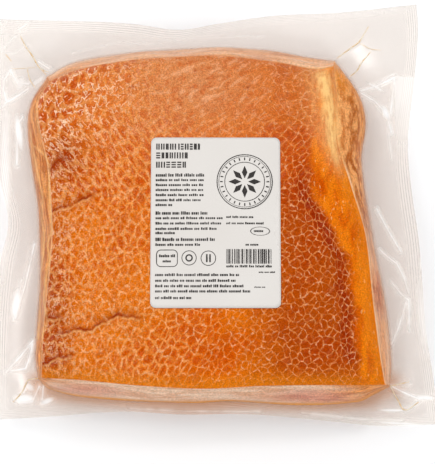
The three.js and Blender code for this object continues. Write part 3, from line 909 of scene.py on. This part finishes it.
def side_marks(u, v, x, y, height, top):
    """Where on the slab's sides each kind of colour lies, from 0 to 1 at every point."""
    on_right, on_left = (u == 1) & ~top, (u == 0) & ~top
    on_front, on_back = (v == 0) & ~top, (v == 1) & ~top
    lean = on_front * (0.75 * bump((u - 0.14) / 0.1) + bump((u - 0.8) / 0.13))
    lean = lean * bump((height - 0.4) / 0.3)
    lean = lean + 1.3 * on_right * bump((v - 0.28) / 0.055) * bump((height - 0.6) / 0.4)
    meaty = on_right * (0.5 + 0.5 * smooth((v - 0.42) / 0.16)) + 0.92 * on_left + 0.4 * on_back
    meaty = meaty + on_front * 1.2 * (bump(u / 0.03) + bump((1 - u) / 0.13))
    rind = 0.9 * (on_left | on_right) * bump(height / 0.12)
    rind = rind + 0.7 * on_back * bump(height / 0.16) + 0.5 * on_back * bump((height - 0.97) / 0.06)
    return {
        "side": ~top * smooth((1.02 - height) * 14),
        "lean": np.clip(lean, 0, 1),
        "meaty": np.clip(meaty, 0, 1),
        "rind": np.clip(rind, 0, 1),
        # painted highlight along the top edge of the left wall, and of the right wall except towards the
        # back
        "rim": bump((height - 0.95) / 0.05) * (0.6 * on_left + on_right * smooth((36 - y) / 14)),
        "yolk": on_front * bump((height - 0.03) / 0.11),
        "flank": on_right * smooth((v - 0.5) / 0.1),
        "dark": on_right * patches(FLANK_DARK, y, height) + 0.45 * on_left,
        "gold": on_right * patches(FLANK_GOLD, y, height),
        "run": np.where((u == 0) | (u == 1), y, x),
        "rise": height * 30,
    }


def build_belly():
    skin = Skin(BELLY_GRID, BELLY_BIAS)
    up_lower, up_upper = np.linspace(0, 1, LOWER_RINGS + 1), np.linspace(0, 1, UPPER_RINGS + 1)[1:]
    rings = [skin.ring(lower_wall(skin.u, skin.v, t), t - 1) for t in up_lower]
    rings += [skin.ring(upper_wall(skin.u, skin.v, t), t) for t in up_upper]
    skin.stitch(rings)
    skin.floor(rings[0])
    skin.cap(rings[-1], top_face, 1)
    points, (u, v, height) = skin.arrays()
    x, y, _ = points.T
    top = height >= 1
    marks = {**top_marks(u, v, x, y, top), **side_marks(u, v, x, y, height, top), **net_place(x, y)}
    # the painted highlight and the strands fade out down the walls
    marks["sheen_and_strands"] *= np.where(x > 0, smooth((height - 0.72) / 0.25), smooth(height / 0.3))
    piece = make_piece("belly", points, skin.faces, belly_material(), marks)
    press_net(piece)
    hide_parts("pork_belly")


# ---- the film ----
def film_glint(nodes, ribs):
    """Painted highlight on creases, glare and the weld's ribs, weaker in the ribs' troughs.

    A crease's painted highlight is a line: the mark 'fold' is less than 0 on its right.
    The mark passes through 0 between two creases as well, where it no longer agrees with the mark
    'fold_off'.
    """
    mark = nodes.mark
    off = nodes.math("ABSOLUTE", mark("fold"))
    honest = (mark("fold_off") - off).step(2.0, 1.3)
    broken = nodes.noise(nodes.place(), 0.07, 1).step(0.36, 0.6, 0.6)
    line = off.step(CREASE_LINE, 0.0) * mark("fold_power") * honest * 0.95
    glint = (line.at_least(mark("glow")) * broken).at_least(mark("glare"))
    # the ribs' crests get painted highlight, which is weaker in their troughs
    return glint.at_least(ribs.step(0.0, 1.0, 0.0, 0.16)) * ribs.step(-1.0, 0.3, 0.8)


def film_body(nodes, on_skirt, glint):
    """Tinted see-through, white on folds and the weld as painted highlight,
    and warm with the meat's painted shade and reflection.
    """
    clear = nodes.node("ShaderNodeBsdfTransparent", nodes.blend(on_skirt, "white", FILM_TINT))
    # painted warm shade and reflection of the meat, near the slab and most in front
    warm = nodes.blend(nodes.mark("bounce"), "haze_and_sheen", "bounce")
    milky = nodes.node("ShaderNodeBsdfDiffuse", nodes.blend(glint, warm, "white"))
    haze_and_sheen = nodes.math("ADD", nodes.mark("haze_and_sheen"), glint, clamp=True)
    return nodes.node("ShaderNodeMixShader", haze_and_sheen, clear, milky)


def film_material(name, index, roughness, held_back):
    """Clear film with gloss less held_back."""
    nodes = Material(name)
    on_skirt = nodes.mark("skirt")
    ribs = nodes.math("SINE", nodes.mark("across") * (2 * math.pi / SEAL_RIB)) * nodes.mark("seal")
    # the film over the slab shows the net under it, and the weld has fine ribs
    _, wide, _ = net_field(nodes)
    over_net = wide.step(0.9, 0.1) * (1 - on_skirt)
    normal = nodes.bump(over_net * 0.3 + ribs * 0.09, 0.5, MM)
    gloss = nodes.node("ShaderNodeBsdfGlossy", named={"Roughness": roughness, "Normal": normal})
    # the node turns its index over for a ray from inside, so it is turned over here as well
    inside = nodes.node("ShaderNodeNewGeometry", output="Backfacing")
    shine = nodes.node("ShaderNodeFresnel", inside.step(0, 1, index, 1 / index), normal)
    shine = nodes.math("SUBTRACT", shine, held_back, clamp=True)
    body = film_body(nodes, on_skirt, film_glint(nodes, ribs))
    return nodes.finish(nodes.node("ShaderNodeMixShader", shine, body, gloss))


def crease_level(x, y):
    """How far the creases lift the film at points (x, y)."""
    return np.max([CREASE_LIFT * high * bump(off_line(points, x, y) / (CREASE_SPREAD * wide))
                   for points, high, wide in CREASES], axis=0)


def glare(x, y, middle_x, middle_y, across, along_, turned, strength):
    c, s = math.cos(math.radians(turned)), math.sin(math.radians(turned))
    right, ahead = (x - middle_x) * c - (y - middle_y) * s, (x - middle_x) * s + (y - middle_y) * c
    return strength * np.exp(-(np.hypot(right / across, ahead / along_) ** 3))


def glare_level(x, y):
    below = (SEAL_GLOW["top"] - y) / SEAL_GLOW["fade"]
    # painted reflection on the right weld, fading towards the front
    weld = smooth((x - SEAL_GLOW["left"]) / 1.5) * smooth(below * 60) * smooth(1 - below)
    level = np.max([SEAL_GLOW["strength"] * weld, *(glare(x, y, *shape) for shape in GLARES)], axis=0)
    return 1 - (1 - level) ** 2


def crease_marks(x, y, upper):
    """The way from points to the nearest crease, less than 0 on its right, and how strong its painted
    highlight and sheen are.
    """
    side, best = np.full(len(x), FAR_OFF), np.full(len(x), FAR_OFF)
    power, glow = np.zeros(len(x)), np.zeros(len(x))
    for points, high, _ in CREASES:
        strength = min(high / CREASE_FULL, 1)
        for ends in zip(points, points[1:]):
            off, over, away = beside(*ends, x, y)
            near = away < best
            best = np.where(near, away, best)
            side = np.where(near, off, side)
            power = np.where(near, strength * bump(over / 1.2), power)
            glow = np.maximum(glow, GLOW * strength * bump(away / GLOW_WIDTH))
    return {"fold": side, "fold_off": best, "fold_power": upper * power, "glow": upper * glow}


def skirt_web(u, v, share):
    """A ring of the skirt's upper web, with its distances from the free edge and the slab, in mm."""
    slab, edge = patch(WIDEST, u, v), patch(POUCH, u, v)
    plan, foot = mix(slab, edge, share), outward(slab, FOOT)
    x, y = plan.T
    wave = share * (1.5 * np.sin(x / 23 + 0.8) * np.cos(y / 31) + 0.9 * np.sin((x - y) / 17 + 1.9))
    fall = SKIRT_DROOP * (1 - np.exp(-np.hypot(*(plan - slab).T) / DROOP_LENGTH))
    across, off_slab = np.hypot(*(edge - plan).T), np.hypot(*(plan - foot).T)
    points = stack(mix(foot, edge, share), np.maximum(PARTING - fall + wave, 2 * FILM))
    points[:, 2] += crease_level(*points[:, :2].T) * smooth(share * 12)
    return points, across, off_slab


def skirt_marks(points, across, off_slab, upper):
    x, y, _ = points.T
    in_front = smooth((-106 - y) / 14)
    # a little milkiness all over and on the weld; a thin line along the slab's foot as painted highlight
    # where the film turns into the skirt; painted warm shade in front
    haze_and_sheen = 0.06 + 0.2 * bump(off_slab / 1.2) * (1 - in_front) + 0.05 * (across < SEAL_WIDTH)
    return {
        "skirt": 1.0,
        "haze_and_sheen": np.clip(haze_and_sheen + 0.36 * in_front * bump(off_slab / 10), 0, 0.8),
        "bounce": np.maximum(in_front * bump(off_slab / 12), 0.8 * bump(off_slab / 1.4)),
        "across": across,
        "seal": upper * smooth((SEAL_WIDTH + 2 - across) / 2) * smooth(off_slab / 4),
        **crease_marks(x, y, upper),
        "glare": upper * glare_level(x, y),
        "net_x": 0.0,
        "net_y": 0.0,
    }


def build_film_skirt():
    """The two webs round the slab, welded along their free edge, and the lower web under the slab."""
    skin = Skin(SKIRT_GRID, SKIRT_BIAS)
    u, v = skin.u, skin.v
    rings = []
    for t in FOOT_SHARES:
        points = lower_wall(u, v, t)
        points[:, :2] = outward(points[:, :2], FOOT)
        points[:, 2] = np.maximum(points[:, 2] - (FILM + GAP) * (1 - t), LOWEST)
        rings.append(skin.ring(points, 99, 0, 0))
    for share in UNDER_SHARES:
        points, across, off_slab = skirt_web(u, v, share)
        points[:, 2] = np.maximum(points[:, 2] - crease_level(*points[:, :2].T) - WEBS, LOWEST_WEB)
        rings.append(skin.ring(points, across, off_slab, 0))
    for share in SKIRT_SHARES:
        rings.append(skin.ring(*skirt_web(u, v, share), 1))
    skin.stitch(rings)
    skin.floor(rings[0])
    points, (_, _, *notes) = skin.arrays()
    marks = skirt_marks(points, *notes)
    material = film_material("clear_film", **SKIRT_GLOSS)
    return make_piece("film_skirt", points, skin.faces, material, marks)


def build_film_over():
    """The upper web over the slab's top and sides, down to the foot of the skirt."""
    skin = Skin(OVER_GRID, OVER_BIAS)
    rings = []
    for t in np.linspace(0, 1, WALL_RINGS):
        points = upper_wall(skin.u, skin.v, t)
        points[:, :2] = outward(points[:, :2], mix(FOOT, FILM_LIFT * 0.5, t))
        points[:, 2] += FILM_LIFT * t
        rings.append(skin.ring(points, t))
    skin.stitch(rings)
    skin.cap(rings[-1], lambda u, v: top_face(u, v) + (0, 0, FILM_LIFT), 1)
    points, (_, v, height) = skin.arrays()
    # a thin milky line at the slab's foot, a painted highlight where the film turns into the skirt
    haze_and_sheen = 0.08 * bump(height / 0.06) * (v > 0)
    marks = {"skirt": 0.0, "haze_and_sheen": haze_and_sheen, **net_place(*points[:, :2].T)}
    material = film_material("film_on_meat", **OVER_GLOSS)
    return make_piece("film_over", points, skin.faces, material, marks)


def build_film():
    film = (build_film_skirt(), build_film_over())
    for piece in film:
        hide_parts("pouch")
        piece.visible_shadow = False
    return film


class Drape:
    """Finds the film's level under a point, to lay other pieces on it."""

    def __init__(self, pieces):
        self.trees = [BVHTree.FromPolygons([v.co for v in piece.data.vertices],
                                           [p.vertices for p in piece.data.polygons]) for piece in pieces]

    def lay(self, xy, lift):
        """Points (x, y) of the design with the film's level there, and lift above it."""
        levels = []
        for x, y, _ in to_frame(stack(np.asarray(xy, float), 0)):
            hits = [tree.ray_cast(Vector((x, y, 0.2)), Vector((0, 0, -1)))[0] for tree in self.trees]
            levels.append(max((hit.z / MM for hit in hits if hit), default=0))
        return stack(xy, np.array(levels) + lift)


# ---- gathered threads of film, and the label ----
def plain_material(name, noise, low, high, colours, roughness, **inputs):
    """A material whose noise turns from one colour to another."""
    nodes = Material(name)
    tone = nodes.noise(nodes.place(), *noise).step(low, high)
    return nodes.principled(Base_Color=nodes.blend(tone, *colours), Roughness=roughness, **inputs)


def thread_rings(path, radius):
    """Rings of points round a path, thinner at its ends."""
    turn = np.arange(THREAD_SIDES) * 2 * math.pi / THREAD_SIDES
    run = np.gradient(path, axis=0)
    run /= np.linalg.norm(run, axis=1)[:, None]
    aside = np.column_stack([-run[:, 1], run[:, 0], np.zeros(len(path))])
    aside /= np.linalg.norm(aside, axis=1)[:, None]
    up = np.cross(run, aside)
    taper = radius * (0.35 + 0.65 * arch(np.linspace(0.12, 0.95, len(path))))
    return [place + thick * (np.cos(turn)[:, None] * side + np.sin(turn)[:, None] * above)
            for place, thick, side, above in zip(path, taper, aside, up)]


def build_threads(drape):
    points, faces = [], []
    for knots, radius in THREADS:
        starts = [(len(points) + k) * THREAD_SIDES for k in range(THREAD_STEPS)]
        path = drape.lay(along(knots, np.linspace(0, 1, THREAD_STEPS)), radius * 0.4)
        points += thread_rings(path, radius)
        # each face begins one corner on, which splits it along its other diagonal
        for low, high in zip(starts, starts[1:]):
            faces += np.roll(quads_between(low, high, THREAD_SIDES), -1, axis=1).tolist()
        faces.append([starts[0] + i for i in range(THREAD_SIDES)][::-1])
        faces.append([starts[-1] + i for i in range(THREAD_SIDES)])
    material = plain_material("film_thread", (0.35, 3), 0.4, 0.62, ("thread", "bright thread"), 0.22,
                              Alpha=0.8)
    piece = make_piece("gathers", np.concatenate(points), faces, material)
    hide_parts("pouch")


def paper_material():
    nodes = Material("label_paper")
    fibre = nodes.noise(nodes.place(), 0.9, 4, 0.7)
    broad = nodes.noise(nodes.place(), 0.02, 1)
    colour = nodes.blend(fibre * 0.12, nodes.blend(broad, "paper", "bright paper"), "fibre")
    return nodes.principled(Base_Color=colour, Roughness=0.5, Normal=nodes.bump(fibre, 0.1, 0.1 * MM))


def rounded_rim(width, length, corner, steps):
    """Points round a rounded rectangle about (0, 0), anticlockwise from its right edge."""
    turn = np.linspace(0, math.pi / 2, steps)
    w, h = width / 2 - corner, length / 2 - corner
    rim = []
    for quarter, (cx, cy) in enumerate([(w, h), (-w, h), (-w, -h), (w, -h)]):
        angle = turn + quarter * math.pi / 2
        rim.append(np.column_stack([cx + corner * np.cos(angle), cy + corner * np.sin(angle)]))
    return np.concatenate(rim)


def build_label(drape):
    """A sheet laid on the film: rings of points that shrink to its middle, above and below."""
    rim = rounded_rim(LABEL["width"], LABEL["length"], LABEL["corner"], LABEL_CORNER_STEPS)
    rings = [rim * share for share in np.linspace(1, 0.03, LABEL_RINGS)]
    under = drape.lay(np.concatenate(rings) + (LABEL["x"], LABEL["y"]), STUCK)
    n, half = len(rim), len(under)
    starts = [k * n for k in range(LABEL_RINGS)]
    faces = []
    for a, b in zip(starts, starts[1:]):
        faces += quads_between(half + a, half + b, n) + quads_between(b, a, n)
    faces.append([half + starts[-1] + i for i in range(n)])
    faces.append([starts[-1] + i for i in range(n)][::-1])
    faces += quads_between(0, half, n)
    points = np.concatenate([under, under + (0, 0, LABEL["thick"])])
    piece = make_piece("label_sheet", points, faces, paper_material())
    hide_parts("label")


# ---- the print ----
class Print:
    """Flat shapes of ink, set out in mm right and down from the label's upper left corner."""

    def __init__(self, seed):
        self.rng = random.Random(seed)
        self.points, self.faces = [], []

    def shape(self, corners):
        self.faces.append(list(range(len(self.points), len(self.points) + len(corners))))
        self.points += corners

    def quad(self, left, top, right, bottom):
        columns = max(1, math.ceil((right - left) / INK_STEP))
        for k in range(columns):
            a, b = mix(left, right, k / columns), mix(left, right, (k + 1) / columns)
            self.shape([(a, bottom), (b, bottom), (b, top), (a, top)])

    def word(self, left, top, length, high, letter):
        """A word as a row of plain blocks, some a little taller; in a headline they are drawn open."""
        x = left
        while x < left + length - 0.4 * letter:
            wide = min(letter * self.rng.uniform(0.6, 1.15), left + length - x)
            rise = self.rng.choice([0, 0, 0, 0.3 * high])
            if high > BIG:
                self.open_block(x, top, x + wide, top + high, upright=rise == 0)
            else:
                self.quad(x, top - rise, x + wide, top + high)
            x += wide + 0.28 * letter
        return x

    def open_block(self, left, top, right, bottom, upright):
        """A headline's block: two upright strokes, or three level ones."""
        if upright:
            self.quad(left, top, left + STROKE, bottom)
            self.quad(right - STROKE, top, right, bottom)
            return
        for level in (top, (top + bottom - STROKE) / 2, bottom - STROKE):
            self.quad(left, level, right, level + STROKE)

    def row(self, left, top, right, high, letter):
        x = left
        while x < right - 2 * letter:
            length = min(letter * self.rng.uniform(2.5, 8), right - x)
            x = self.word(x, top, length, high, letter) + 0.75 * letter

    def ring(self, cx, cy, outer, inner, squash=1.0):
        turn = [k * 2 * math.pi / RING_SIDES for k in range(RING_SIDES + 1)]
        for a, b in zip(turn, turn[1:]):
            self.shape([(cx + r * math.cos(t), cy - squash * r * math.sin(t))
                        for r, t in ((inner, a), (outer, a), (outer, b), (inner, b))])

    def spokes(self, cx, cy, radius, count, corners):
        """Shapes turned about (cx, cy), from corners' ways out and aside in shares of the radius."""
        for k in range(count):
            c, s = math.cos(k * 2 * math.pi / count), math.sin(k * 2 * math.pi / count)
            self.shape([(cx + radius * (out * c - aside * s), cy - radius * (out * s + aside * c))
                        for out, aside in corners])

    def frame(self, left, top, right, bottom, corner, line):
        width, length = right - left, bottom - top
        outer = rounded_rim(width, length, corner, FRAME_CORNER_STEPS)
        inner = rounded_rim(width - 2 * line, length - 2 * line, corner - line, FRAME_CORNER_STEPS)
        for k in range(len(outer)):
            j = (k + 1) % len(outer)
            self.shape([((left + right) / 2 + x, (top + bottom) / 2 - y)
                        for x, y in (inner[k], outer[k], outer[j], inner[j])])


def print_text(ink):
    for top, right in HEADLINES:
        ink.word(HEADLINE_MARGIN, top, right - HEADLINE_MARGIN, *HEADLINE_TYPE)
    for index, (top, right) in enumerate(BODY_ROWS):
        ink.row(MARGIN, top, right, *(BOLD_TYPE if index in BOLD_ROWS else BODY_TYPE))
    for top, right in FOOT_ROWS:
        ink.row(MARGIN, top, right, *FOOT_TYPE)
    for left, top, right in SIDE_ROWS:
        ink.row(left, top, right, *SIDE_TYPE)
    for left, top, right in TINY_ROWS:
        ink.row(left, top, right, *TINY_TYPE)


def print_emblem(ink):
    """A plain rosette in rings, with short ticks between them."""
    cx, cy, radius = EMBLEM
    for outer, line in EMBLEM_RINGS:
        ink.ring(cx, cy, radius * outer, radius * outer - line)
    ink.spokes(cx, cy, radius, TICKS, TICK)
    ink.spokes(cx, cy, radius, PETALS, PETAL)


def print_bars(ink):
    left, top, right, bottom = BARS
    x = left
    while x < right - 0.3:
        wide = ink.rng.choice(BAR_WIDTHS)
        ink.quad(x, top, min(x + wide, right), bottom)
        x += wide + ink.rng.choice(BAR_GAPS)
    ink.row(left, bottom + 1.3, right, 1.3, 1.0)


def print_marks(ink):
    """Small framed and ringed marks of rows and bars."""
    ink.frame(4, 79.4, 18.9, 91.5, 3.2, 0.5)
    ink.row(6, 83.2, 17, 1.5, 1.0)
    ink.row(8.5, 87, 14.6, 1.3, 0.9)
    ink.ring(26.7, 85.2, 5.2, 4.7)
    ink.ring(26.7, 85.2, 2.6, 1.6)
    ink.ring(40, 85.4, 5.3, 4.8)
    ink.quad(38.4, 82.6, 39.5, 88.2)
    ink.quad(40.6, 82.6, 41.7, 88.2)
    ink.ring(75.8, 66.4, 6.8, 6.3, squash=0.45)
    ink.row(71.5, 65.8, 80, 1.2, 0.9)


def build_print(drape):
    ink = Print(PRINT_SEED)
    for add in (print_text, print_emblem, print_bars, print_marks):
        add(ink)
    corner = (LABEL["x"] - LABEL["width"] / 2, LABEL["y"] + LABEL["length"] / 2)
    points = drape.lay(np.array(ink.points) * (1, -1) + corner, STUCK + LABEL["thick"] + INK_LIFT)
    material = plain_material("label_ink", (1.6, 3), 0.35, 0.7, ("ink", "worn ink"), 0.55)
    piece = make_piece("label_print", points, ink.faces, material)
    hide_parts("label")


# ---- the stage ----
def build_floor():
    mesh = bpy.data.meshes.new("floor")
    half = FLOOR_SIDE / 2
    mesh.from_pydata([(-half, -half, 0), (half, -half, 0), (half, half, 0), (-half, half, 0)],
                     [], [(0, 1, 2, 3)])
    mesh.materials.append(Material("floor").principled(Base_Color=FLOOR_COLOUR, Roughness=0.7))
    floor = bpy.data.objects.new("floor", mesh)
    floor.location.z = FLOOR_LEVEL
    bpy.context.collection.objects.link(floor)


def build_world():
    world = bpy.data.worlds.new("studio")
    world.use_nodes = True
    nodes = Nodes(world.node_tree)
    toward = nodes.node("ShaderNodeTexCoord", output="Generated")
    high = nodes.node("ShaderNodeSeparateXYZ", toward, output="Z")
    band = high.step(0.02, 0.25) * high.step(0.93, 0.75)
    sky = world.node_tree.nodes["Background"]
    nodes.feed(sky.inputs["Strength"], band * WORLD_BAND + WORLD_LOW)
    nodes.feed(sky.inputs["Color"], WORLD_COLOUR)
    bpy.context.scene.world = world


def build_lights():
    for name, azimuth, elevation, side, watts, mirrored in LAMPS:
        a, e = math.radians(azimuth), math.radians(elevation)
        toward = Vector((math.sin(a) * math.cos(e), -math.cos(a) * math.cos(e), math.sin(e)))
        lamp = bpy.data.lights.new(name, "AREA")
        lamp.size = side
        lamp.energy = watts
        light = bpy.data.objects.new(name, lamp)
        light.location = toward * LAMP_FAR
        light.rotation_euler = toward.to_track_quat("Z", "Y").to_euler()
        light.visible_glossy = mirrored
        bpy.context.collection.objects.link(light)


def build_camera():
    data = bpy.data.cameras.new("camera")
    data.lens = CAMERA_LENS
    data.sensor_width = CAMERA_SENSOR
    camera = bpy.data.objects.new("camera", data)
    back = Vector((0, -math.cos(CAMERA_ELEVATION), math.sin(CAMERA_ELEVATION)))
    camera.location = Vector(to_frame(CAMERA_AIM)) + back * CAMERA_FAR
    camera.rotation_euler = (math.pi / 2 - CAMERA_ELEVATION, 0, 0)
    bpy.context.collection.objects.link(camera)
    bpy.context.scene.camera = camera


bpy.context.scene.view_settings.view_transform = "Standard"
build_camera()
build_floor()
build_world()
build_lights()
build_belly()
film = Drape(build_film())
build_threads(film)
build_label(film)
build_print(film)
